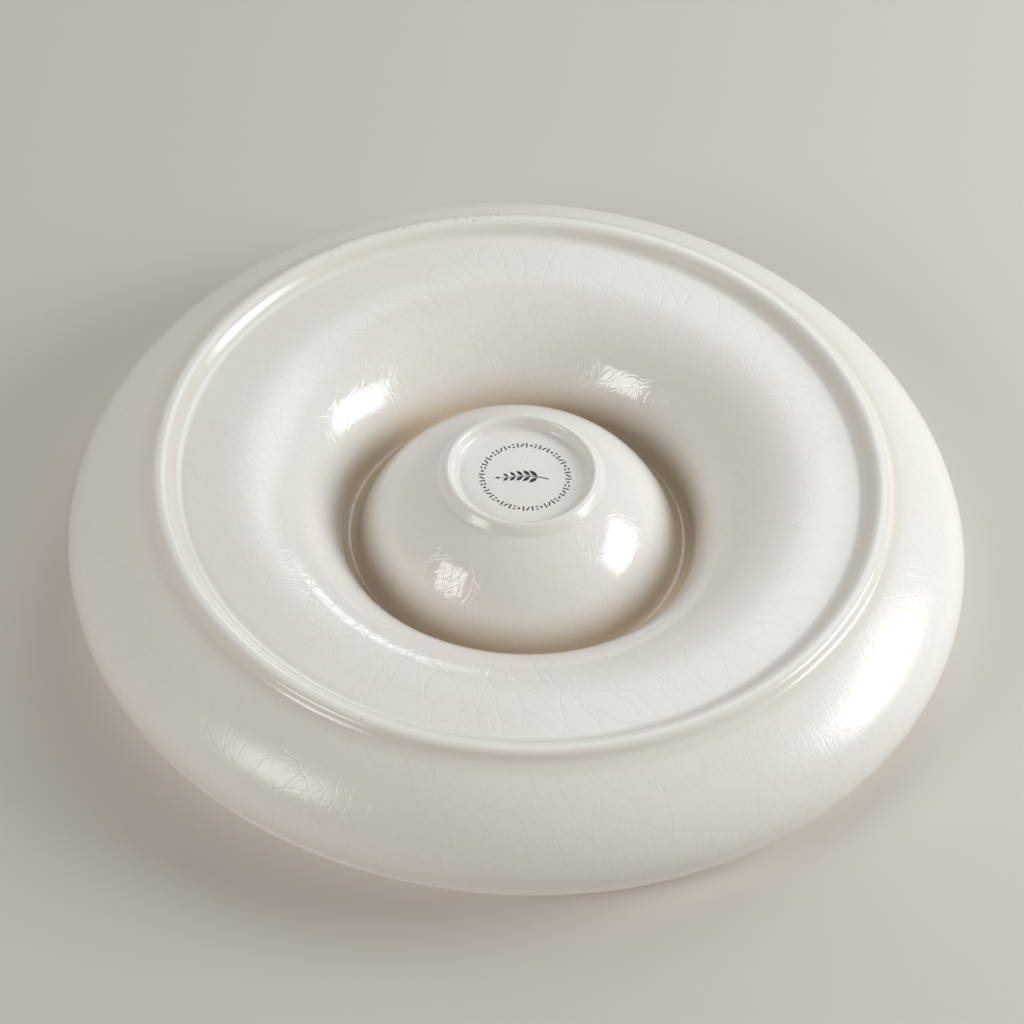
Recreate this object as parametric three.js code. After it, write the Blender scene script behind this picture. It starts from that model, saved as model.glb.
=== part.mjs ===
// Chip and dip server: a ring-shaped tray around a dip bowl, formed in one clay.
// Millimetres, +Z up. The server stands as it is used, on its tray foot ring,
// with the origin at the centre of the plane that the foot ring rests on.
// Every member is turned about the Z axis from an outline of (radius, height) points.
// Members that are luted together share the outline points of their joint.

import * as THREE from 'three';

// Driving dimensions
const wall = 5.8; // thickness of the clay walls
const recess = 4.2; // height of the tray's underside above the resting plane
const floorTop = recess + 5.6; // height of the tray's floor inside

// Outer wall of the tray: an elliptical bulge, rolled in towards the rim
const bulge = { radius: 46.9, height: 31.6, across: 110.6, up: 43.2 };
const wallFoot = -40.5; // where the bulge leaves the foot ring, in degrees of the ellipse
const wallFloor = -38.4; // where its inside meets the tray's floor
const wallSplit = 3; // where the lower wall hands over to the rolled rim
const wallLip = 26; // where it ends in the rim

// Tray foot ring: a narrow band that is flat underneath
const foot = { inner: 118.8, bandInner: 123.8, bandOuter: 127, outer: 129.3, joint: 129.9 };

// Inner wall of the tray: a quarter ellipse that rises from the floor to the bowl's rim
const rise = { radius: 99, across: 40, up: 46.9, endAngle: 68.3 };
const grooveRadius = 3; // hollow under the rim where tray and bowl meet

// Dip bowl: its wall is an arc about this point, tangent to the groove
const bowlCurve = { radius: 7.3, height: 52.8 };
const bowlBase = { under: 6, top: 11.4, radius: 28 };
const bowlFoot = { inner: 22.6, bandInner: 25.3, bandOuter: 27.3, outer: 28.7, joint: 29.4, height: 2 };

// Printed ring and leaf under the bowl, a little off the centre
const print = { ring: 15.1, ringWidth: 2.2, leafLength: 18, leafWidth: 6.4, depth: 0.12, offset: -1.3 };

const sides = 64; // facets around every turned member

const colours = { glaze: 0xe4dfd4, print: 0x33302d };

const radians = THREE.MathUtils.degToRad;

function point(radius, height) {
  return new THREE.Vector2(radius, height);
}

function arcPoint(centre, radius, degrees) {
  const angle = radians(degrees);
  return point(centre.x + radius * Math.cos(angle), centre.y + radius * Math.sin(angle));
}

// Points of a curve from one angle to another, both ends included
function curve(pointAt, from, to, steps) {
  return Array.from({ length: steps + 1 }, (_, i) => pointAt(from + ((to - from) * i) / steps));
}

function arc(centre, radius, from, to, steps) {
  return curve((degrees) => arcPoint(centre, radius, degrees), from, to, steps);
}

// The points of a curve between its ends, which are joints that two members share
function inner(points) {
  return points.slice(1, -1);
}

function angleFrom(centre, target) {
  return THREE.MathUtils.radToDeg(Math.atan2(target.y - centre.y, target.x - centre.x));
}

// Point of the outer wall's bulge, moved inwards by depth
function bulgePoint(degrees, depth) {
  const angle = radians(degrees);
  const normal = point(Math.cos(angle) / bulge.across, Math.sin(angle) / bulge.up).normalize();
  const x = bulge.radius + bulge.across * Math.cos(angle);
  const y = bulge.height + bulge.up * Math.sin(angle);
  return point(x, y).addScaledVector(normal, -depth);
}

function bulgeCurve(from, to, depth, steps) {
  return curve((degrees) => bulgePoint(degrees, depth), from, to, steps);
}

// Point of the inner wall's underside, moved up and outwards by depth
function risePoint(degrees, depth) {
  const angle = radians(degrees);
  const normal = point(rise.up * Math.sin(angle), rise.across * Math.cos(angle)).normalize();
  const x = rise.radius - rise.across * Math.sin(angle);
  const y = recess + rise.up * (1 - Math.cos(angle));
  return point(x, y).addScaledVector(normal, depth);
}

function riseCurve(from, to, depth, steps) {
  return curve((degrees) => risePoint(degrees, depth), from, to, steps);
}

// The shared rim is rounded about the centre of the groove beneath it
const rimCentre = risePoint(rise.endAngle, -grooveRadius);
const rimRadius = grooveRadius + wall;
const bowlCentre = point(bowlCurve.radius, bowlCurve.height);
const bowlOuterRadius = rimCentre.distanceTo(bowlCentre) - grooveRadius;
const bowlInnerRadius = bowlOuterRadius - wall;

// Joints that neighbouring members share
const wallFootJoint = bulgePoint(wallFoot, 0);
const floorJoint = point(foot.joint, recess);
const wallFloorJoint = point(bulgePoint(wallFloor, wall).x, floorTop);
const rimJoint = { outside: bulgePoint(wallSplit, 0), inside: bulgePoint(wallSplit, wall) };
const floorInner = { under: point(rise.radius, recess), top: point(rise.radius, floorTop) };
const collarJoint = { under: risePoint(rise.endAngle, 0), top: risePoint(rise.endAngle, wall) };
const bowlRimAngle = angleFrom(bowlCentre, rimCentre);
const bowlRimJoint = {
  under: arcPoint(bowlCentre, bowlOuterRadius, bowlRimAngle),
  top: arcPoint(bowlCentre, bowlInnerRadius, bowlRimAngle),
};
const baseJoint = point(bowlBase.radius, bowlBase.under);
const baseTopJoint = point(onBowl(bowlInnerRadius, bowlBase.top), bowlBase.top);
const bowlFootTop = point(bowlFoot.joint, heightOnBowl(bowlOuterRadius, bowlFoot.joint));

// Radius of an arc about the bowl's centre at a height, and its height at a radius
function onBowl(arcRadius, height) {
  return bowlCentre.x + Math.sqrt(arcRadius ** 2 - (bowlCentre.y - height) ** 2);
}

function heightOnBowl(arcRadius, radius) {
  return bowlCentre.y - Math.sqrt(arcRadius ** 2 - (radius - bowlCentre.x) ** 2);
}

function trayLowerWall() {
  return [
    floorJoint,
    wallFootJoint,
    ...inner(bulgeCurve(wallFoot, wallSplit, 0, 8)),
    rimJoint.outside,
    rimJoint.inside,
    ...inner(bulgeCurve(wallSplit, wallFloor, wall, 7)),
    wallFloorJoint,
  ];
}

function trayRolledRim() {
  const lip = bulgePoint(wallLip, wall / 2);
  const lipStart = angleFrom(lip, bulgePoint(wallLip, 0));
  return [
    rimJoint.outside,
    ...bulgeCurve(wallSplit, wallLip, 0, 4).slice(1),
    ...inner(arc(lip, wall / 2, lipStart, lipStart + 180, 5)),
    ...bulgeCurve(wallLip, wallSplit, wall, 3).slice(0, -1),
    rimJoint.inside,
  ];
}

function trayFloor() {
  return [floorInner.under, point(foot.inner, recess), floorJoint, wallFloorJoint, floorInner.top];
}

function trayFootRing() {
  return [
    point(foot.inner, recess),
    point(foot.inner + 1.6, recess - 0.7),
    point(foot.bandInner - 1.6, 0.9),
    point(foot.bandInner, 0),
    point(foot.bandOuter, 0),
    point(foot.outer - 1, 0.9),
    point(foot.outer, recess - 1.2),
    wallFootJoint,
    floorJoint,
  ];
}

function trayInnerWall() {
  return [
    collarJoint.under,
    ...inner(riseCurve(rise.endAngle, 0, 0, 8)),
    floorInner.under,
    floorInner.top,
    ...inner(riseCurve(0, rise.endAngle, wall, 7)),
    collarJoint.top,
  ];
}

function sharedRim() {
  const traySide = angleFrom(rimCentre, collarJoint.top);
  const bowlSide = bowlRimAngle + 180;
  return [
    collarJoint.under,
    collarJoint.top,
    ...inner(arc(rimCentre, rimRadius, traySide, bowlSide, 7)),
    bowlRimJoint.top,
    bowlRimJoint.under,
    ...inner(arc(rimCentre, grooveRadius, bowlSide, traySide, 5)),
  ];
}

function bowlWall() {
  const footAngle = angleFrom(bowlCentre, bowlFootTop);
  const baseAngle = angleFrom(bowlCentre, baseTopJoint);
  return [
    baseJoint,
    bowlFootTop,
    ...inner(arc(bowlCentre, bowlOuterRadius, footAngle, bowlRimAngle, 8)),
    bowlRimJoint.under,
    bowlRimJoint.top,
    ...inner(arc(bowlCentre, bowlInnerRadius, bowlRimAngle, baseAngle, 7)),
    baseTopJoint,
  ];
}

function bowlBaseDisc() {
  return [point(0, bowlBase.under), baseJoint, baseTopJoint, point(0, bowlBase.top)];
}

function bowlFootRing() {
  return [
    point(bowlFoot.inner, bowlBase.under),
    point(bowlFoot.inner + 1, bowlBase.under - 0.8),
    point(bowlFoot.bandInner - 0.7, bowlFoot.height + 0.8),
    point(bowlFoot.bandInner, bowlFoot.height),
    point(bowlFoot.bandOuter, bowlFoot.height),
    point(bowlFoot.outer - 0.3, bowlFoot.height + 0.9),
    bowlFootTop,
    baseJoint,
  ];
}

// A closed outline turned about the Z axis
function turned(outline, steps = sides) {
  const onAxis = outline[0].x === 0;
  const closed = onAxis ? outline : [...outline, outline[0].clone()];
  return new THREE.LatheGeometry(closed, steps).rotateX(Math.PI / 2);
}

// Thin flat shape whose upper side lies on the underside of the bowl's base
function printed(shape) {
  const geometry = new THREE.ExtrudeGeometry(shape, {
    depth: print.depth,
    bevelEnabled: false,
    curveSegments: 12,
  });
  return geometry.translate(print.offset, 0, bowlBase.under - print.depth);
}

function printRing() {
  const shape = new THREE.Shape().absarc(0, 0, print.ring + print.ringWidth / 2, 0, 2 * Math.PI);
  const hole = new THREE.Path().absarc(0, 0, print.ring - print.ringWidth / 2, 0, 2 * Math.PI, true);
  shape.holes.push(hole);
  return printed(shape);
}

function printLeaf() {
  const tip = print.leafLength / 2;
  const shape = new THREE.Shape().moveTo(-tip, 0);
  shape.quadraticCurveTo(0, print.leafWidth, tip, 0);
  shape.quadraticCurveTo(0, -print.leafWidth, -tip, 0);
  return printed(shape);
}

function member(name, geometry, colour, roughness) {
  const material = new THREE.MeshStandardMaterial({ color: colour, roughness, metalness: 0 });
  const mesh = new THREE.Mesh(geometry, material);
  mesh.name = name;
  return mesh;
}

const glazed = (name, outline) => member(name, turned(outline), colours.glaze, 0.15);

const group = new THREE.Group();
group.add(
  glazed('tray_rolled_rim', trayRolledRim()),
  glazed('tray_lower_wall', trayLowerWall()),
  glazed('tray_floor', trayFloor()),
  glazed('tray_inner_wall', trayInnerWall()),
  glazed('tray_foot_ring', trayFootRing()),
  glazed('shared_rim', sharedRim()),
  glazed('bowl_wall', bowlWall()),
  glazed('bowl_base', bowlBaseDisc()),
  glazed('bowl_foot_ring', bowlFootRing()),
  member('print_ring', printRing(), colours.print, 0.4),
  member('print_leaf', printLeaf(), colours.print, 0.4),
);

export default group;
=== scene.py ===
import math

import bmesh
import bpy
from mathutils import Matrix, Vector, noise


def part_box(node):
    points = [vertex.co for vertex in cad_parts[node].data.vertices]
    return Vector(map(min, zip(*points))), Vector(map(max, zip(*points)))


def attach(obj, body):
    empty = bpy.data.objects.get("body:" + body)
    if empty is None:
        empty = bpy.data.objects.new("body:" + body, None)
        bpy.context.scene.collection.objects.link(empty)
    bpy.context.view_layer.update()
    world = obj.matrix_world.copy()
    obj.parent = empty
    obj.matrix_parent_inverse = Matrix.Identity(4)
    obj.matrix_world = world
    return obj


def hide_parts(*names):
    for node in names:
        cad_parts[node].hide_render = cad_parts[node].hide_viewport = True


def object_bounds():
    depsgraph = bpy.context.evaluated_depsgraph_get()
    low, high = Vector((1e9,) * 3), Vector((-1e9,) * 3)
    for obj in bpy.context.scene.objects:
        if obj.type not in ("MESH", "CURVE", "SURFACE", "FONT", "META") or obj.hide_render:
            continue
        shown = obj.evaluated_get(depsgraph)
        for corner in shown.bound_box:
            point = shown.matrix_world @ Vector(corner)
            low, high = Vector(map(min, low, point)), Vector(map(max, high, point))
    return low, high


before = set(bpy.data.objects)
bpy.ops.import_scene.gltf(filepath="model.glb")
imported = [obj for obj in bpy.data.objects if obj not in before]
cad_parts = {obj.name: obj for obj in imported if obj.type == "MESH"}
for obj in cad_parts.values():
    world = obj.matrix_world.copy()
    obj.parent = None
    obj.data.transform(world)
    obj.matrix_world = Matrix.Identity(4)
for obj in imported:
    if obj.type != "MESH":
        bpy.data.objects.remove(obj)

# Chip and dip server in crackled white glaze.
# It is shown turned over on its rim, so the camera, the lights and the table top are set out
# in a turned-over frame and then carried into the frame of the part.

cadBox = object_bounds()
mm = 0.001
rimHeight = cadBox[1].z
turnedOver = Matrix.Rotation(math.pi, 4, "Y")

clay = {
    "wall": 5.8 * mm,
    "around": 360,  # faces round each turned member
    "sharpFrom": 38,  # degrees, for the hidden rings where members meet
    "outOfRound": 0.9 * mm,  # three soft lobes in the outer wall, from drying
    "lobeTurn": 285,  # degrees
    "wander": 0.12 * mm,  # hand-finished unevenness
    "wanderSize": 45 * mm,
    "steady": 20 * mm,  # inside this radius the unevenness dies away towards the axis
}


def pointOn(centre, radius, degrees):
    angle = math.radians(degrees)
    return Vector((centre[0] + radius * math.cos(angle), centre[1] + radius * math.sin(angle)))


def along(pointAt, start, end, steps):
    return [pointAt(start + (end - start) * i / steps) for i in range(steps + 1)]


def arc(centre, radius, start, end, steps):
    return along(lambda degrees: pointOn(centre, radius, degrees), start, end, steps)


def angleFrom(centre, target):
    return math.degrees(math.atan2(target[1] - centre[1], target[0] - centre[0]))


def straight(start, end, steps):
    return [Vector(start).lerp(Vector(end), i / steps) for i in range(steps + 1)]


def softened(corners, steps=7):
    # each corner is its radius, its height and how far the rounding reaches along its sides
    points = []
    for i, (radius, height, reach) in enumerate(corners):
        corner = Vector((radius, height))
        if reach == 0 or i in (0, len(corners) - 1):
            points.append(corner)
            continue
        before = Vector(corners[i - 1][:2]) - corner
        after = Vector(corners[i + 1][:2]) - corner
        start = corner + before.normalized() * min(reach, before.length)
        end = corner + after.normalized() * min(reach, after.length * 0.5)
        for step in range(steps + 1):
            t = step / steps
            points.append(start.lerp(corner, t).lerp(corner.lerp(end, t), t))
    return points


def easeInOut(t):
    return t * t * (3 - 2 * t)


def unevenness(place):
    # how far the clay is pushed outwards at a point of the server
    radius = math.hypot(place.x, place.y)
    turn = math.atan2(place.y, place.x)
    widest = bulge["centre"].x + bulge["across"]
    spread = min(1, max(0, (radius - trayFoot["outer"]) / (widest - trayFoot["outer"])))
    lobes = math.cos(3 * turn - math.radians(clay["lobeTurn"])) * easeInOut(spread)
    wander = noise.noise(place / clay["wanderSize"])
    return lobes * clay["outOfRound"] + wander * clay["wander"]


def turned(name, cadNode, outline, closed=True):
    # a surface of revolution, smooth apart from the hidden rings where members meet
    around = clay["around"]
    mesh = bmesh.new()
    rings = []
    for radius, height in outline:
        if radius < 1e-7:
            rings.append([mesh.verts.new((0, 0, height))] * around)
            continue
        ring = []
        for i in range(around):
            angle = 2 * math.pi * i / around
            place = Vector((radius * math.cos(angle), radius * math.sin(angle), height))
            grown = 1 + unevenness(place) / max(radius, clay["steady"])
            ring.append(mesh.verts.new((place.x * grown, place.y * grown, height)))
        rings.append(ring)
    pairs = list(zip(rings, rings[1:] + rings[:1]))
    if not closed:
        pairs.pop()
    for lower, upper in pairs:
        for i in range(around):
            j = (i + 1) % around
            corners = []
            for vert in (lower[i], lower[j], upper[j], upper[i]):
                if vert not in corners:
                    corners.append(vert)
            if len(corners) > 2:
                mesh.faces.new(corners)
    bmesh.ops.recalc_face_normals(mesh, faces=mesh.faces)
    for face in mesh.faces:
        face.smooth = True
    for edge in mesh.edges:
        if len(edge.link_faces) == 2 and edge.calc_face_angle() > math.radians(clay["sharpFrom"]):
            edge.smooth = False
    data = bpy.data.meshes.new(name)
    mesh.to_mesh(data)
    mesh.free()
    piece = bpy.data.objects.new(name, data)
    bpy.context.scene.collection.objects.link(piece)
    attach(piece, "root")
    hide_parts(cadNode)
    return piece


floorLow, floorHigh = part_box("tray_floor")
trayFloor = {"under": floorLow.z, "top": floorHigh.z, "joint": 129.9 * mm}

trayFoot = {
    "fillet": 117.2 * mm,  # where the ring leaves the underside of the floor
    "inner": 119.4 * mm,
    "bandInner": 123.4 * mm,
    "bandOuter": 127.5 * mm,
    "outer": 129.4 * mm,
    "outerHeight": 2.85 * mm,
}

# the outer wall follows an ellipse, and the angles are in degrees of it
bulge = {
    "centre": Vector((46.9 * mm, 31.6 * mm)),
    "across": 110.6 * mm,
    "up": 43.2 * mm,
    "foot": -40.5,
    "floor": -38.4,
    "split": 3,
    "lip": 26,
}

# the inner wall follows a quarter of an ellipse that starts flat at the floor
rise = {
    "radius": 99 * mm,
    "across": 40 * mm,
    "up": 46.9 * mm,
    "end": 68.3,  # degrees of the ellipse
    "groove": 3 * mm,
    "ease": 11 * mm,  # how far each way the flat underside blends into the rise
    "easeOut": 24 * mm,  # over which the blend then fades
}


def bulgePoint(degrees, depth=0.0):
    angle = math.radians(degrees)
    normal = Vector((math.cos(angle) / bulge["across"], math.sin(angle) / bulge["up"])).normalized()
    onEllipse = Vector((bulge["across"] * math.cos(angle), bulge["up"] * math.sin(angle)))
    return bulge["centre"] + onEllipse - normal * depth


def risePoint(degrees, depth=0.0):
    angle = math.radians(degrees)
    normal = Vector((rise["up"] * math.sin(angle), rise["across"] * math.cos(angle))).normalized()
    radius = rise["radius"] - rise["across"] * math.sin(angle)
    height = trayFloor["under"] + rise["up"] * (1 - math.cos(angle))
    return Vector((radius, height)) + normal * depth


def eased(place):
    # the bend comes in evenly over twice the ease, and its lift fades further up the rise
    bend = rise["up"] / rise["across"] ** 2
    ease = rise["ease"]
    past = rise["radius"] - place.x
    if past <= -ease:
        return place
    within = min(past, ease)
    lift = bend * (within + ease) ** 3 / (12 * ease) - bend * max(0, within) ** 2 / 2
    fade = min(1, max(0, (past - ease) / rise["easeOut"]))
    return Vector((place.x, place.y + lift * (1 - easeInOut(fade))))


def trayLowerWall():
    wall = clay["wall"]
    outline = [Vector((trayFloor["joint"], trayFloor["under"]))]
    outline += along(bulgePoint, bulge["foot"], bulge["split"], 42)
    outline += along(lambda a: bulgePoint(a, wall), bulge["split"], bulge["floor"], 36)[:-1]
    outline += [Vector((bulgePoint(bulge["floor"], wall).x, trayFloor["top"]))]
    return outline


def trayRolledRim():
    wall = clay["wall"]
    lip = bulgePoint(bulge["lip"], wall / 2)
    start = angleFrom(lip, bulgePoint(bulge["lip"]))
    outline = along(bulgePoint, bulge["split"], bulge["lip"], 22)
    outline += arc(lip, wall / 2, start, start + 180, 14)[1:-1]
    outline += along(lambda a: bulgePoint(a, wall), bulge["lip"], bulge["split"], 18)
    return outline


def trayFloorRing():
    under, top = trayFloor["under"], trayFloor["top"]
    outer = bulgePoint(bulge["floor"], clay["wall"]).x
    outline = [eased(place) for place in straight((rise["radius"], under), (trayFoot["fillet"], under), 24)]
    outline += [Vector((trayFloor["joint"], under))]
    outline += straight((outer, top), (rise["radius"], top), 16)
    return outline


def trayFootRing():
    under = trayFloor["under"]
    wallStart = bulgePoint(bulge["foot"])
    corners = [
        (trayFoot["fillet"], under, 0),
        (trayFoot["inner"], under, 2.2 * mm),
        (trayFoot["bandInner"], 0, 2.0 * mm),
        (trayFoot["bandOuter"], 0, 1.6 * mm),
        (trayFoot["outer"], trayFoot["outerHeight"], 1.5 * mm),
        (wallStart.x, wallStart.y, 0),
    ]
    return softened(corners, 9) + [Vector((trayFloor["joint"], under))]


def trayInnerWall():
    wall = clay["wall"]
    outline = [eased(place) for place in along(risePoint, rise["end"], 0, 60)]
    outline += along(lambda a: risePoint(a, wall), 0, rise["end"], 40)
    return outline


baseLow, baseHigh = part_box("bowl_base")
bowl = {
    "centre": Vector((7.3 * mm, 52.8 * mm)),  # of the arc that its wall follows
    "under": baseLow.z,
    "floor": baseHigh.z,
    "joint": 28 * mm,
}

bowlFoot = {
    "fillet": 21.4 * mm,
    "inner": 23.2 * mm,
    "bandInner": 24.8 * mm,
    "bandOuter": 26.8 * mm,
    "outer": 29.1 * mm,
    "joint": 29.4 * mm,
    "height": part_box("bowl_foot_ring")[0].z,
}

rimCentre = risePoint(rise["end"], -rise["groove"])
rimRadius = rise["groove"] + clay["wall"]
bowlOuter = (rimCentre - bowl["centre"]).length - rise["groove"]
bowlInner = bowlOuter - clay["wall"]
bowlRimAngle = angleFrom(bowl["centre"], rimCentre)


def onBowl(arcRadius, height):
    return bowl["centre"].x + math.sqrt(arcRadius**2 - (bowl["centre"].y - height) ** 2)


def heightOnBowl(arcRadius, radius):
    return bowl["centre"].y - math.sqrt(arcRadius**2 - (radius - bowl["centre"].x) ** 2)


footTop = Vector((bowlFoot["joint"], heightOnBowl(bowlOuter, bowlFoot["joint"])))
baseTop = Vector((onBowl(bowlInner, bowl["floor"]), bowl["floor"]))
baseJoint = Vector((bowl["joint"], bowl["under"]))


def sharedRim():
    traySide = angleFrom(rimCentre, risePoint(rise["end"], clay["wall"]))
    bowlSide = bowlRimAngle + 180
    outline = arc(rimCentre, rimRadius, traySide, bowlSide, 34)
    outline += arc(rimCentre, rise["groove"], bowlSide, traySide, 22)
    return outline


def bowlWall():
    outline = [baseJoint]
    footAngle = angleFrom(bowl["centre"], footTop)
    baseAngle = angleFrom(bowl["centre"], baseTop)
    outline += arc(bowl["centre"], bowlOuter, footAngle, bowlRimAngle, 44)
    outline += arc(bowl["centre"], bowlInner, bowlRimAngle, baseAngle, 36)
    return outline


def bowlBase():
    centre = Vector((0, bowl["under"]))
    outline = [centre]
    outline += straight((2 * mm, bowl["under"]), baseJoint, 12)
    outline += straight(baseTop, (2 * mm, bowl["floor"]), 12)
    outline += [Vector((0, bowl["floor"]))]
    return outline


def bowlFootRing():
    low, under = bowlFoot["height"], bowl["under"]
    corners = [
        (bowlFoot["fillet"], under, 0),
        (bowlFoot["inner"], under, 1.8 * mm),
        (bowlFoot["bandInner"], low, 1.5 * mm),
        (bowlFoot["bandOuter"], low, 1.2 * mm),
        (bowlFoot["outer"], low + 2.8 * mm, 0.6 * mm),
        (footTop.x, footTop.y, 0),
    ]
    return softened(corners, 8) + [baseJoint]


print("turning the tray")
tray = [
    turned("trayRolledRim", "tray_rolled_rim", trayRolledRim()),
    turned("trayLowerWall", "tray_lower_wall", trayLowerWall()),
    turned("trayFloorRing", "tray_floor", trayFloorRing()),
    turned("trayInnerWall", "tray_inner_wall", trayInnerWall()),
    turned("sharedRim", "shared_rim", sharedRim()),
]
footRings = [turned("trayFootRing", "tray_foot_ring", trayFootRing())]

print("turning the dip bowl")
dipBowl = [
    turned("bowlWall", "bowl_wall", bowlWall()),
    turned("bowlBase", "bowl_base", bowlBase(), closed=False),
]
footRings.append(turned("bowlFootRing", "bowl_foot_ring", bowlFootRing()))


# strokes, a dot, a pair of dashes and a slanted stroke take turns round the ring
printedRing = {
    "radius": 15.1 * mm,
    "height": 2.1 * mm,
    "stroke": 0.5 * mm,
    "marks": 60,
    "dashSpread": 0.3,  # shares of the height
    "dashLength": 0.42,
    "slantedLength": 0.9,
    "slant": 0.7,
    "dotRadius": 0.9,  # share of the stroke
    "thickness": 0.04 * mm,
}

printedLeaf = {
    "length": 16.4 * mm,
    "leaves": 6,
    "leafLength": 4.2 * mm,
    "leafWidth": 1.5 * mm,
    "lean": 42,  # degrees off the stem
    "smaller": 0.09,  # from each pair of leaves to the next
    "firstLeaf": 0.22,  # share of the stem that stays bare
    "leafStalk": 0.12,  # share of a leaf's length
    "stem": 0.5 * mm,  # width at its thick end
    "stemThickness": 0.03 * mm,
    "sway": 0.9 * mm,  # how far the stem bends sideways
    "low": 0.5 * mm,  # shift that centres the bent stem
}

printLow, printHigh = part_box("print_ring")
printCentre = (printLow + printHigh) / 2


def stamp(mesh, outline, lift):
    # a flat patch of ink on the underside of the bowl's base
    low = bowl["under"] - lift
    placed = [(x + printCentre.x, y + printCentre.y) for x, y in outline]
    top = [mesh.verts.new((x, y, bowl["under"])) for x, y in placed]
    bottom = [mesh.verts.new((x, y, low)) for x, y in placed]
    mesh.faces.new(top)
    mesh.faces.new(bottom[::-1])
    for i in range(len(outline)):
        j = (i + 1) % len(outline)
        mesh.faces.new((top[i], bottom[i], bottom[j], top[j]))


def bar(centre, direction, length, width):
    half = Vector(direction).normalized() * length / 2
    side = Vector((-direction[1], direction[0])).normalized() * width / 2
    return [centre - half - side, centre + half - side, centre + half + side, centre - half + side]


def inkPiece(name, cadNode, mesh):
    bmesh.ops.recalc_face_normals(mesh, faces=mesh.faces)
    data = bpy.data.meshes.new(name)
    mesh.to_mesh(data)
    mesh.free()
    piece = bpy.data.objects.new(name, data)
    bpy.context.scene.collection.objects.link(piece)
    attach(piece, "root")
    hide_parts(cadNode)
    return piece


def makePrintedRing():
    mesh = bmesh.new()
    ring = printedRing
    for i in range(ring["marks"]):
        angle = 2 * math.pi * i / ring["marks"]
        outward = Vector((math.cos(angle), math.sin(angle)))
        tangent = Vector((-outward.y, outward.x))
        centre = outward * ring["radius"]
        kind = i % 5
        if kind in (0, 3):
            stamp(mesh, bar(centre, outward, ring["height"], ring["stroke"]), ring["thickness"])
        elif kind == 1:
            dotRadius = ring["stroke"] * ring["dotRadius"]
            dot = [centre + pointOn((0, 0), dotRadius, degrees) for degrees in range(0, 360, 30)]
            stamp(mesh, dot, ring["thickness"])
        elif kind == 2:
            for side in (-1, 1):
                spot = centre + outward * side * ring["height"] * ring["dashSpread"]
                dash = bar(spot, tangent, ring["height"] * ring["dashLength"], ring["stroke"])
                stamp(mesh, dash, ring["thickness"])
        else:
            lean = outward + tangent * ring["slant"]
            slanted = bar(centre, lean, ring["height"] * ring["slantedLength"], ring["stroke"])
            stamp(mesh, slanted, ring["thickness"])
    return inkPiece("printedRing", "print_ring", mesh)


def stemPoint(t):
    sprig = printedLeaf
    sway = math.sin(t * math.pi * 1.3) * sprig["sway"] - sprig["low"]
    return Vector(((t - 0.5) * sprig["length"], sway))


def leafOutline(root, degrees, size):
    sprig = printedLeaf
    stalk = sprig["leafStalk"]
    lean = math.radians(degrees)
    axis = Vector((math.cos(lean), math.sin(lean))) * sprig["leafLength"] * size
    across = Vector((-axis.y, axis.x)).normalized() * sprig["leafWidth"] / 2 * size
    edge = [stalk + (1 - stalk) * k / 8 for k in range(9)]
    middle = [root + axis * t for t in edge]
    bulging = [across * math.sin(math.pi * (t - stalk) / (1 - stalk)) for t in edge]
    upper = [m + b for m, b in zip(middle, bulging)]
    lower = [m - b for m, b in zip(middle, bulging)]
    return upper + lower[1:-1][::-1]


def makePrintedLeaf():
    mesh = bmesh.new()
    sprig = printedLeaf
    steps = 16
    stem = [stemPoint(i / steps) for i in range(steps + 1)]
    # the stem thins out to under half its width
    side = [Vector((0, sprig["stem"] / 2 * (1 - 0.6 * i / steps))) for i in range(steps + 1)]
    lowEdge = [place - half for place, half in zip(stem, side)]
    highEdge = [place + half for place, half in zip(stem, side)]
    stamp(mesh, lowEdge + highEdge[::-1], sprig["stemThickness"])
    last = sprig["leaves"] - 1
    for i in range(sprig["leaves"]):
        root = stemPoint(sprig["firstLeaf"] + (1 - sprig["firstLeaf"]) * i / last)
        turns = (1, -1) if i < last else (0,)
        for turn in turns:
            leaf = leafOutline(root, sprig["lean"] * turn, 1 - sprig["smaller"] * i)
            stamp(mesh, leaf, printedRing["thickness"])
    return inkPiece("printedLeaf", "print_leaf", mesh)


print("printing the base")
ink = [makePrintedRing(), makePrintedLeaf()]


def node(tree, kind, x, y, **settings):
    made = tree.nodes.new(kind)
    made.location = (x, y)
    for key, value in settings.items():
        setattr(made, key, value)
    return made


def maths(tree, operation, first, second=None, third=None):
    made = node(tree, "ShaderNodeMath", 0, 0, operation=operation)
    for socket, value in zip(made.inputs, (first, second, third)):
        if value is None:
            continue
        if isinstance(value, (int, float)):
            socket.default_value = value
        else:
            tree.links.new(value, socket)
    return made.outputs[0]


def remap(tree, value, fromMin, fromMax, toMin, toMax, smooth=False):
    made = node(tree, "ShaderNodeMapRange", 0, 0, interpolation_type="SMOOTHSTEP" if smooth else "LINEAR")
    for index, number in enumerate((value, fromMin, fromMax, toMin, toMax)):
        if isinstance(number, (int, float)):
            made.inputs[index].default_value = number
        else:
            tree.links.new(number, made.inputs[index])
    return made.outputs[0]


def mixed(tree, factor, first, second):
    made = node(tree, "ShaderNodeMix", 0, 0, data_type="RGBA")
    for socket, value in ((made.inputs[0], factor), (made.inputs[6], first), (made.inputs[7], second)):
        if isinstance(value, (int, float, tuple)):
            socket.default_value = value
        else:
            tree.links.new(value, socket)
    return made.outputs[2]


def fromAxis(tree, parts):
    # distance from the server's axis, of a place that is split into its three parts
    squares = maths(tree, "ADD", maths(tree, "MULTIPLY", parts.outputs[0], parts.outputs[0]),
                    maths(tree, "MULTIPLY", parts.outputs[1], parts.outputs[1]))
    return maths(tree, "SQRT", squares)


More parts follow.
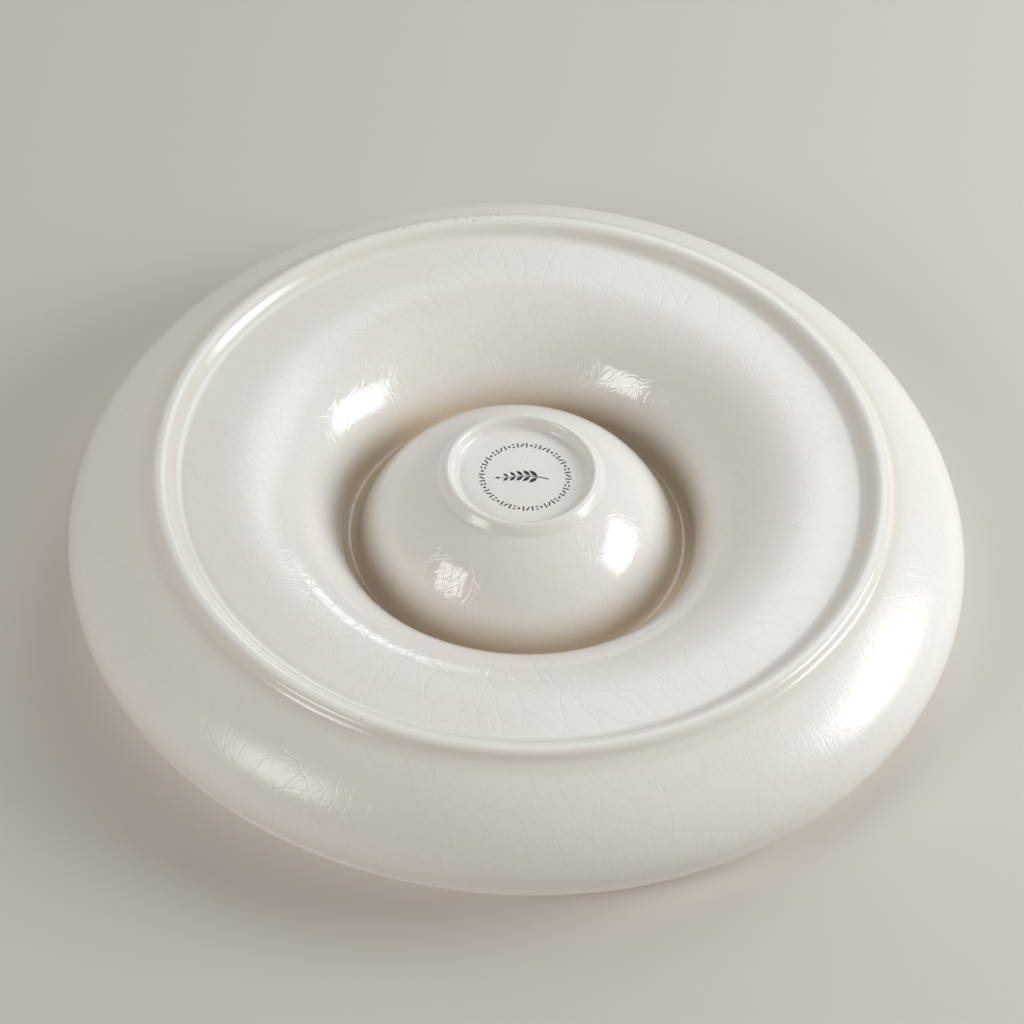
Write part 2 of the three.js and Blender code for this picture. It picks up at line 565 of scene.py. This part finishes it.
def makeCrazeGroup():
    # Hair cracks of the glaze: cell edges in a space that is stretched along the radius
    # and wound into a spiral, so the cracks run long and cross each other at a slant.
    # Cell, Line and Bend are in millimetres.
    tree = bpy.data.node_groups.new("glazeCraze", "ShaderNodeTree")
    numbers = {"Cell": 7.0, "Stretch": 0.5, "Swirl": 0.0, "Line": 0.2, "Bend": 5.0, "Seed": 0.0}
    for label, default in numbers.items():
        socket = tree.interface.new_socket(label, in_out="INPUT", socket_type="NodeSocketFloat")
        socket.default_value = default
    tree.interface.new_socket("Lines", in_out="OUTPUT", socket_type="NodeSocketFloat")
    given = node(tree, "NodeGroupInput", -1800, 0)
    result = node(tree, "NodeGroupOutput", 900, 0)

    place = node(tree, "ShaderNodeTexCoord", -1800, 400)
    inMm = node(tree, "ShaderNodeVectorMath", -1600, 400, operation="SCALE")
    inMm.inputs["Scale"].default_value = 1000
    tree.links.new(place.outputs["Object"], inMm.inputs[0])
    shifted = node(tree, "ShaderNodeCombineXYZ", -1600, 200)
    for axis in range(3):
        tree.links.new(given.outputs["Seed"], shifted.inputs[axis])
    wobbleSpot = node(tree, "ShaderNodeVectorMath", -1400, 200, operation="ADD")
    tree.links.new(inMm.outputs[0], wobbleSpot.inputs[0])
    tree.links.new(shifted.outputs[0], wobbleSpot.inputs[1])
    wobble = node(tree, "ShaderNodeTexNoise", -1200, 200)
    wobble.inputs["Scale"].default_value = 0.045
    wobble.inputs["Detail"].default_value = 1.5
    tree.links.new(wobbleSpot.outputs[0], wobble.inputs["Vector"])
    centred = node(tree, "ShaderNodeVectorMath", -1000, 200, operation="SUBTRACT")
    centred.inputs[1].default_value = (0.5, 0.5, 0.5)
    tree.links.new(wobble.outputs["Color"], centred.inputs[0])
    bent = node(tree, "ShaderNodeVectorMath", -800, 200, operation="SCALE")
    tree.links.new(centred.outputs[0], bent.inputs[0])
    tree.links.new(given.outputs["Bend"], bent.inputs["Scale"])
    spot = node(tree, "ShaderNodeVectorMath", -600, 300, operation="ADD")
    tree.links.new(inMm.outputs[0], spot.inputs[0])
    tree.links.new(bent.outputs[0], spot.inputs[1])

    parts = node(tree, "ShaderNodeSeparateXYZ", -400, 300)
    tree.links.new(spot.outputs[0], parts.inputs[0])
    radius = maths(tree, "MAXIMUM", fromAxis(tree, parts), 1.0)
    ratio = maths(tree, "DIVIDE", radius, 100.0)
    shrink = maths(tree, "POWER", ratio, maths(tree, "SUBTRACT", given.outputs["Stretch"], 1.0))
    turn = maths(tree, "MULTIPLY", maths(tree, "LOGARITHM", ratio, math.e), given.outputs["Swirl"])
    cosine, sine = maths(tree, "COSINE", turn), maths(tree, "SINE", turn)
    spunX = maths(tree, "SUBTRACT", maths(tree, "MULTIPLY", parts.outputs[0], cosine),
                  maths(tree, "MULTIPLY", parts.outputs[1], sine))
    spunY = maths(tree, "ADD", maths(tree, "MULTIPLY", parts.outputs[0], sine),
                  maths(tree, "MULTIPLY", parts.outputs[1], cosine))
    space = node(tree, "ShaderNodeCombineXYZ", 100, 200)
    tree.links.new(maths(tree, "MULTIPLY", spunX, shrink), space.inputs[0])
    tree.links.new(maths(tree, "MULTIPLY", spunY, shrink), space.inputs[1])
    upright = maths(tree, "MULTIPLY", parts.outputs[2], given.outputs["Stretch"])
    tree.links.new(maths(tree, "ADD", upright, given.outputs["Seed"]), space.inputs[2])

    cells = node(tree, "ShaderNodeTexVoronoi", 300, 200, feature="DISTANCE_TO_EDGE")
    cells.inputs["Randomness"].default_value = 1
    tree.links.new(space.outputs[0], cells.inputs["Vector"])
    tree.links.new(maths(tree, "DIVIDE", 1.0, given.outputs["Cell"]), cells.inputs["Scale"])
    gap = maths(tree, "MULTIPLY", cells.outputs["Distance"], given.outputs["Cell"])
    lines = remap(tree, gap, 0.0, given.outputs["Line"], 1.0, 0.0, smooth=True)
    tree.links.new(lines, result.inputs["Lines"])
    return tree


# settings for the glaze's colour drift, for painted shade in the groove and beside the tray's foot ring, and
# for the satin and crazed shares
toneAndShade = {
    "reach": 19 * mm,  # to each side of the groove
    "crowded": 3.0,  # a power: more keeps the warm glaze and painted shade closer to the groove
    "from": 5 * mm,  # heights between which it comes in
    "to": 38 * mm,
    "footMiddle": 130.2 * mm,  # outer side of the tray's foot ring, where painted shade darkens the crease
    "footReach": (1 * mm, 5 * mm),
    "outerCreaseShade": 0.22,
    "innerMiddle": 121.3 * mm,  # inner side of it, with painted shade in that crease too
    "innerReach": (0.5 * mm, 2.6 * mm),
    "innerCreaseShade": 0.22,
    "footHeight": (8 * mm, 14 * mm),
    "cloudSize": 9,
    "cloudShare": 0.09,
    "satinFrom": (130 * mm, 137 * mm),
    "fullyCrazed": (50 * mm, 84 * mm),
    "crazedInside": 0.9,
}


# a falloff to both sides of a ring's radius, for the painted shade in the foot ring's creases
def shadeBesideRing(tree, radius, middle, reach, share):
    distance = maths(tree, "ABSOLUTE", maths(tree, "SUBTRACT", radius, middle))
    return remap(tree, distance, *reach, share, 0.0, smooth=True)


def makeToneAndShadeGroup():
    # Slow drift of the glaze's colour, and darker, warmer glaze in the groove, partly real pooling of the
    # glaze and partly painted shade, and painted shade in the creases either side of the tray's foot ring
    tree = bpy.data.node_groups.new("glazeToneAndShade", "ShaderNodeTree")
    for label, value in (("Clear", (0.8, 0.8, 0.8, 1)), ("Pooled", (0.7, 0.6, 0.5, 1))):
        socket = tree.interface.new_socket(label, in_out="INPUT", socket_type="NodeSocketColor")
        socket.default_value = value
    tree.interface.new_socket("Color", in_out="OUTPUT", socket_type="NodeSocketColor")
    for label in ("Satin", "Crazed"):
        tree.interface.new_socket(label, in_out="OUTPUT", socket_type="NodeSocketFloat")
    given = node(tree, "NodeGroupInput", -900, 0)
    result = node(tree, "NodeGroupOutput", 700, 0)
    place = node(tree, "ShaderNodeTexCoord", -900, 300)
    drift = node(tree, "ShaderNodeTexNoise", -700, 300)
    drift.inputs["Scale"].default_value = toneAndShade["cloudSize"]
    drift.inputs["Detail"].default_value = 3
    tree.links.new(place.outputs["Object"], drift.inputs["Vector"])
    parts = node(tree, "ShaderNodeSeparateXYZ", -700, 100)
    tree.links.new(place.outputs["Object"], parts.inputs[0])
    radius = fromAxis(tree, parts)
    fromGroove = maths(tree, "ABSOLUTE", maths(tree, "SUBTRACT", radius, rimCentre.x))
    near = remap(tree, fromGroove, 0.0, toneAndShade["reach"], 1.0, 0.0, smooth=True)
    deep = remap(tree, parts.outputs[2], toneAndShade["from"], toneAndShade["to"], 0.0, 1.0, smooth=True)
    facing = node(tree, "ShaderNodeSeparateXYZ", -700, -100)
    tree.links.new(place.outputs["Normal"], facing.inputs[0])
    # only the underside has the groove's pooled glaze and painted shade
    under = remap(tree, facing.outputs[2], -0.1, 0.3, 1.0, 0.0, smooth=True)
    crowded = maths(tree, "POWER", near, toneAndShade["crowded"])
    # darker, warmer glaze near the groove and deep in it: partly glaze pooled there, partly painted shade
    groovePoolAndShade = maths(tree, "MULTIPLY", crowded, maths(tree, "MULTIPLY", deep, under))
    outer = shadeBesideRing(tree, radius, toneAndShade["footMiddle"], toneAndShade["footReach"], toneAndShade["outerCreaseShade"])
    inner = shadeBesideRing(tree, radius, toneAndShade["innerMiddle"], toneAndShade["innerReach"], toneAndShade["innerCreaseShade"])
    low = remap(tree, parts.outputs[2], *toneAndShade["footHeight"], 1.0, 0.0, smooth=True)
    # painted shade: darker, warmer glaze in the creases either side of the tray's foot ring, low down only
    footCreaseShade = maths(tree, "MULTIPLY", maths(tree, "MAXIMUM", outer, inner), low)
    cloud = remap(tree, drift.outputs["Fac"], 0.35, 0.65, 0.0, toneAndShade["cloudShare"])
    # the colour leans to the pooled glaze and painted shade wherever the painted shade or the random drift
    # is stronger
    amount = maths(tree, "MAXIMUM", maths(tree, "MAXIMUM", groovePoolAndShade, footCreaseShade), cloud)
    color = mixed(tree, amount, given.outputs["Clear"], given.outputs["Pooled"])
    tree.links.new(color, result.inputs["Color"])
    satin = remap(tree, radius, *toneAndShade["satinFrom"], 0.0, 1.0, smooth=True)
    tree.links.new(satin, result.inputs["Satin"])
    crazed = remap(tree, radius, *toneAndShade["fullyCrazed"], toneAndShade["crazedInside"], 1.0, smooth=True)
    tree.links.new(crazed, result.inputs["Crazed"])
    return tree


glaze = {
    "clear": (0.81, 0.782, 0.735, 1),
    # pooled glaze, and painted shade in the groove and beside the foot ring; the random drift also leans to
    # it
    "pooledGlazeAndShade": (0.59, 0.485, 0.35, 1),
    "crack": (0.60, 0.54, 0.47, 1),
    "crackTint": 0.08,
    "crackDepth": 0.029 * mm,
    "roughness": 0.08,
    "satinRoughness": 0.24,  # on the outside of the tray's wall
}

# three sets of hair cracks lie over each other
crackle = {
    "wide": {"Cell": 8.0, "Stretch": 0.45, "Swirl": 0.3, "Line": 0.36, "Bend": 14.0, "Seed": 0.0},
    "slanted": {"Cell": 4.6, "Stretch": 0.42, "Swirl": -1.1, "Line": 0.34, "Bend": 16.0, "Seed": 31.0},
    "fine": {"Cell": 2.7, "Stretch": 0.34, "Swirl": 0.2, "Line": 0.3, "Bend": 8.0, "Seed": 77.0},
}

footGlaze = {
    "bisque": (0.42, 0.27, 0.16, 1),
    "pinholes": 0.6,
    "roughness": 0.18,
    "crackStrength": 0.5,
    "speckScale": 800,
    "crest": (0.1 * mm, 0.6 * mm),  # specks fade out between these heights
    "worn": (0.26, 0.965),  # direction of the stretch where most of them are
    "wornFrom": (0.120, 0.1262),  # distances that way between which they become likely
}

inkFinish = {"color": (0.012, 0.0115, 0.011, 1), "thin": (0.14, 0.13, 0.12, 1), "roughness": 0.45}

crazeGroup = makeCrazeGroup()
toneAndShadeGroup = makeToneAndShadeGroup()


def placeGroup(tree, group, x, y, **values):
    made = node(tree, "ShaderNodeGroup", x, y, node_tree=group)
    for label, value in values.items():
        made.inputs[label].default_value = value
    return made


def bareSpecks(tree, place):
    # pinholes in the thin glaze on a foot ring's crest, most of them in one stretch of it
    specks = node(tree, "ShaderNodeTexVoronoi", -1200, -1000, feature="F1")
    specks.inputs["Scale"].default_value = footGlaze["speckScale"]
    tree.links.new(place.outputs["Object"], specks.inputs["Vector"])
    runs = node(tree, "ShaderNodeTexNoise", -1200, -1250)
    runs.inputs["Scale"].default_value = 45
    runs.inputs["Detail"].default_value = 3
    tree.links.new(place.outputs["Object"], runs.inputs["Vector"])
    parts = node(tree, "ShaderNodeSeparateXYZ", -1200, -1450)
    tree.links.new(place.outputs["Object"], parts.inputs[0])
    crest = remap(tree, parts.outputs[2], *footGlaze["crest"], 1.0, 0.0, smooth=True)
    dots = remap(tree, specks.outputs["Distance"], 0.2, 0.38, 1.0, 0.0, smooth=True)
    side, back = footGlaze["worn"]
    backward = maths(tree, "MULTIPLY", parts.outputs[1], back)
    towards = maths(tree, "MULTIPLY_ADD", parts.outputs[0], side, backward)
    stretch = remap(tree, towards, *footGlaze["wornFrom"], 0.0, 0.16, smooth=True)
    chance = maths(tree, "ADD", runs.outputs["Fac"], stretch)
    where = remap(tree, chance, 0.64, 0.68, 0.0, 1.0, smooth=True)
    return maths(tree, "MULTIPLY", maths(tree, "MULTIPLY", dots, where), crest)


def glazeMaterial(name, crackStrength=1.0, shine=glaze["roughness"], pinholes=False):
    material = bpy.data.materials.new(name)
    material.use_nodes = True
    tree = material.node_tree
    shader = tree.nodes["Principled BSDF"]
    tone = placeGroup(tree, toneAndShadeGroup, -900, 300, Clear=glaze["clear"], Pooled=glaze["pooledGlazeAndShade"])
    cracks = {}
    for row, (label, values) in enumerate(crackle.items()):
        cracks[label] = placeGroup(tree, crazeGroup, -1200, -250 * row, **values).outputs["Lines"]
    place = node(tree, "ShaderNodeTexCoord", -1400, -700)
    patches = node(tree, "ShaderNodeTexNoise", -1200, -750)
    patches.inputs["Scale"].default_value = 16
    tree.links.new(place.outputs["Object"], patches.inputs["Vector"])
    # slanted and fine cracks take turns over the body, and the outside has more of the fine ones
    slantShare = remap(tree, patches.outputs["Fac"], 0.40, 0.58, 0.15, 0.9, smooth=True)
    fineShare = remap(tree, patches.outputs["Fac"], 0.60, 0.42, 0.05, 0.7, smooth=True)
    outside = maths(tree, "MULTIPLY_ADD", tone.outputs["Satin"], 0.7, 0.3)
    slanted = maths(tree, "MULTIPLY", cracks["slanted"], slantShare)
    fine = maths(tree, "MULTIPLY", cracks["fine"], maths(tree, "MULTIPLY", fineShare, outside))
    together = maths(tree, "MAXIMUM", maths(tree, "MAXIMUM", cracks["wide"], slanted), fine)
    lines = maths(tree, "MULTIPLY", together, tone.outputs["Crazed"])
    tint = maths(tree, "MULTIPLY", lines, glaze["crackTint"] * crackStrength)
    color = mixed(tree, tint, tone.outputs["Color"], glaze["crack"])
    height = maths(tree, "SUBTRACT", 1.0, lines)
    if pinholes:
        bare = bareSpecks(tree, place)
        color = mixed(tree, maths(tree, "MULTIPLY", bare, footGlaze["pinholes"]), color, footGlaze["bisque"])
        height = maths(tree, "SUBTRACT", height, maths(tree, "MULTIPLY", bare, 2.0))
    tree.links.new(color, shader.inputs["Base Color"])
    bump = node(tree, "ShaderNodeBump", -300, -300)
    bump.inputs["Strength"].default_value = 1
    bump.inputs["Distance"].default_value = glaze["crackDepth"] * crackStrength
    tree.links.new(height, bump.inputs["Height"])
    tree.links.new(bump.outputs["Normal"], shader.inputs["Normal"])
    rough = remap(tree, tone.outputs["Satin"], 0.0, 1.0, shine, glaze["satinRoughness"])
    tree.links.new(rough, shader.inputs["Roughness"])
    shader.inputs["IOR"].default_value = 1.5
    return material


def inkMaterial():
    material = bpy.data.materials.new("firedInk")
    material.use_nodes = True
    tree = material.node_tree
    shader = tree.nodes["Principled BSDF"]
    place = node(tree, "ShaderNodeTexCoord", -900, 0)
    grain = node(tree, "ShaderNodeTexNoise", -700, 0)
    grain.inputs["Scale"].default_value = 2500
    tree.links.new(place.outputs["Object"], grain.inputs["Vector"])
    thin = remap(tree, grain.outputs["Fac"], 0.5, 0.8, 0.0, 0.2, smooth=True)
    color = mixed(tree, thin, inkFinish["color"], inkFinish["thin"])
    tree.links.new(color, shader.inputs["Base Color"])
    shader.inputs["Roughness"].default_value = inkFinish["roughness"]
    return material


print("glazing")
bodyGlaze = glazeMaterial("crackleGlaze")
thinGlaze = glazeMaterial("footRingGlaze", footGlaze["crackStrength"], footGlaze["roughness"], pinholes=True)
firedInk = inkMaterial()
for pieces, finish in ((tray + dipBowl, bodyGlaze), (footRings, thinGlaze), (ink, firedInk)):
    for piece in pieces:
        piece.data.materials.clear()
        piece.data.materials.append(finish)


# the table top lies at the rim and shows from below, where the turned-over camera is; the shelf
# lies under the foot ring and shows only to a camera above, as when the server stands upright
table = {"color": (0.60, 0.565, 0.52, 1), "size": 3.0, "hole": 0.1435, "roughness": 0.75}

shelf = {"color": (0.47, 0.445, 0.41, 1)}

softboxes = [
    {
        "name": "frontSoftbox", "azimuth": -142, "elevation": 30, "roll": 17, "distance": 2.4,
        "size": (0.9, 0.9), "radiance": 7.6, "color": (1, 0.985, 0.96), "edge": 0.07,
    },
    {
        "name": "sideWindow", "azimuth": 5, "elevation": 24, "roll": 0, "distance": 1.25,
        "size": (0.78, 0.6), "radiance": 11.0, "color": (0.94, 0.975, 1.0), "edge": 0.18,
    },
    {
        "name": "backWindow", "azimuth": 80, "elevation": 22, "roll": 0, "distance": 2.6,
        "size": (0.9, 0.6), "radiance": 5.8, "color": (0.97, 0.985, 1), "edge": 0.4,
    },
    {
        "name": "highPanel", "azimuth": 66, "elevation": 45, "roll": 0, "distance": 1.5,
        "size": (1.3, 1.1), "radiance": 2.9, "color": (0.92, 0.965, 1), "edge": 0.4,
    },
]

overhead = [
    {
        "name": "overheadPanel", "azimuth": 90, "elevation": -84, "roll": 0, "distance": 2.4,
        "size": (1.5, 1.5), "radiance": 8.0, "color": (1, 0.99, 0.97), "edge": 0.25, "gloss": False,
    },
    {
        "name": "overheadGleam", "azimuth": 120, "elevation": -66, "roll": 0, "distance": 2.0,
        "size": (0.5, 0.5), "radiance": 4.0, "color": (1, 1, 1), "edge": 0.1,
    },
]

room = {"color": (1.0, 0.985, 0.97, 1), "strength": 0.325}

viewpoint = {
    "aim": Vector((-2.6 * mm, -22.5 * mm, 0)),
    "elevation": 47.46,
    "roll": 3.17,
    "distance": 1.2347,
    "lens": 126.74,
}


def surfaceMaterial(name, color):
    # seen and lit from its front only
    material = bpy.data.materials.new(name)
    material.use_nodes = True
    tree = material.node_tree
    shader = tree.nodes["Principled BSDF"]
    shader.inputs["Base Color"].default_value = color
    shader.inputs["Roughness"].default_value = table["roughness"]
    clear = node(tree, "ShaderNodeBsdfTransparent", 0, -300)
    facing = node(tree, "ShaderNodeNewGeometry", -300, 300)
    choose = node(tree, "ShaderNodeMixShader", 400, 0)
    tree.links.new(facing.outputs["Backfacing"], choose.inputs[0])
    tree.links.new(shader.outputs[0], choose.inputs[1])
    tree.links.new(clear.outputs[0], choose.inputs[2])
    tree.links.new(choose.outputs[0], tree.nodes["Material Output"].inputs["Surface"])
    return material


def sheetOf(name, height, color, facesDown, hole):
    mesh = bmesh.new()
    steps = 128

    def circle(radius):
        return [mesh.verts.new((*pointOn((0, 0), radius, 360 * i / steps), height)) for i in range(steps)]

    outer = circle(table["size"] / 2)
    if hole:
        inner = circle(hole)
        for i in range(steps):
            j = (i + 1) % steps
            mesh.faces.new((inner[i], outer[i], outer[j], inner[j]))
    else:
        mesh.faces.new(outer)
    for face in mesh.faces:
        face.normal_update()
        if (face.normal.z < 0) != facesDown:
            face.normal_flip()
    data = bpy.data.meshes.new(name)
    mesh.to_mesh(data)
    mesh.free()
    sheet = bpy.data.objects.new(name, data)
    bpy.context.scene.collection.objects.link(sheet)
    data.materials.append(surfaceMaterial(name, color))
    return sheet


def softboxLight(box):
    lamp = bpy.data.lights.new(box["name"], "AREA")
    lamp.shape = "RECTANGLE"
    lamp.size, lamp.size_y = box["size"]
    lamp.color = box["color"]
    lamp.energy = box["radiance"] * math.pi * box["size"][0] * box["size"][1]
    # the cloth is dimmer towards its frame
    lamp.use_nodes = True
    tree = lamp.node_tree
    across = node(tree, "ShaderNodeNewGeometry", -900, 0)
    sides = node(tree, "ShaderNodeSeparateXYZ", -700, 0)
    tree.links.new(across.outputs["Parametric"], sides.inputs[0])
    fade = 1.0
    for axis in (0, 1):
        fromMiddle = maths(tree, "ABSOLUTE", maths(tree, "SUBTRACT", sides.outputs[axis], 0.5))
        falling = remap(tree, fromMiddle, 0.5 - box["edge"], 0.5, 1.0, 0.0, smooth=True)
        fade = maths(tree, "MULTIPLY", falling, fade)
    tree.links.new(fade, tree.nodes["Emission"].inputs["Strength"])
    light = bpy.data.objects.new(box["name"], lamp)
    bpy.context.scene.collection.objects.link(light)
    azimuth, elevation = math.radians(box["azimuth"]), math.radians(box["elevation"])
    flat = math.cos(elevation)
    direction = Vector((flat * math.cos(azimuth), flat * math.sin(azimuth), math.sin(elevation)))
    roll = Matrix.Rotation(math.radians(box["roll"]), 4, "Z")
    aim = direction.to_track_quat("Z", "Y").to_matrix().to_4x4() @ roll
    light.matrix_world = turnedOver @ Matrix.Translation(direction * box["distance"]) @ aim
    light.visible_glossy = box.get("gloss", True)
    return light


def placeCamera():
    camera = bpy.data.objects.new("camera", bpy.data.cameras.new("camera"))
    bpy.context.scene.collection.objects.link(camera)
    elevation, roll = math.radians(viewpoint["elevation"]), math.radians(viewpoint["roll"])
    back = Vector((0, -math.cos(elevation), math.sin(elevation)))
    right = Vector((1, 0, 0))
    up = back.cross(right)
    rolledRight = right * math.cos(roll) + up * math.sin(roll)
    rolledUp = up * math.cos(roll) - right * math.sin(roll)
    facing = Matrix((rolledRight, rolledUp, back)).transposed().to_4x4()
    location = Matrix.Translation(viewpoint["aim"] + back * viewpoint["distance"])
    camera.matrix_world = turnedOver @ location @ facing
    camera.data.lens = viewpoint["lens"]
    camera.data.clip_start = 0.05
    camera.data.clip_end = 50
    bpy.context.scene.camera = camera
    return camera


print("setting the table and lights")
tableTop = sheetOf("tableTop", rimHeight, table["color"], facesDown=True, hole=table["hole"])
tableTop.visible_shadow = False
shelfTop = sheetOf("shelfTop", cadBox[0].z, shelf["color"], facesDown=False, hole=None)
shelfTop.visible_shadow = False
shelfTop.visible_diffuse = False
shelfTop.visible_glossy = False
for box in softboxes + overhead:
    softboxLight(box)
placeCamera()

world = bpy.data.worlds.new("softRoom")
bpy.context.scene.world = world
world.use_nodes = True
background = world.node_tree.nodes["Background"]
background.inputs["Color"].default_value = room["color"]
background.inputs["Strength"].default_value = room["strength"]

bpy.context.scene.view_settings.view_transform = "Standard"
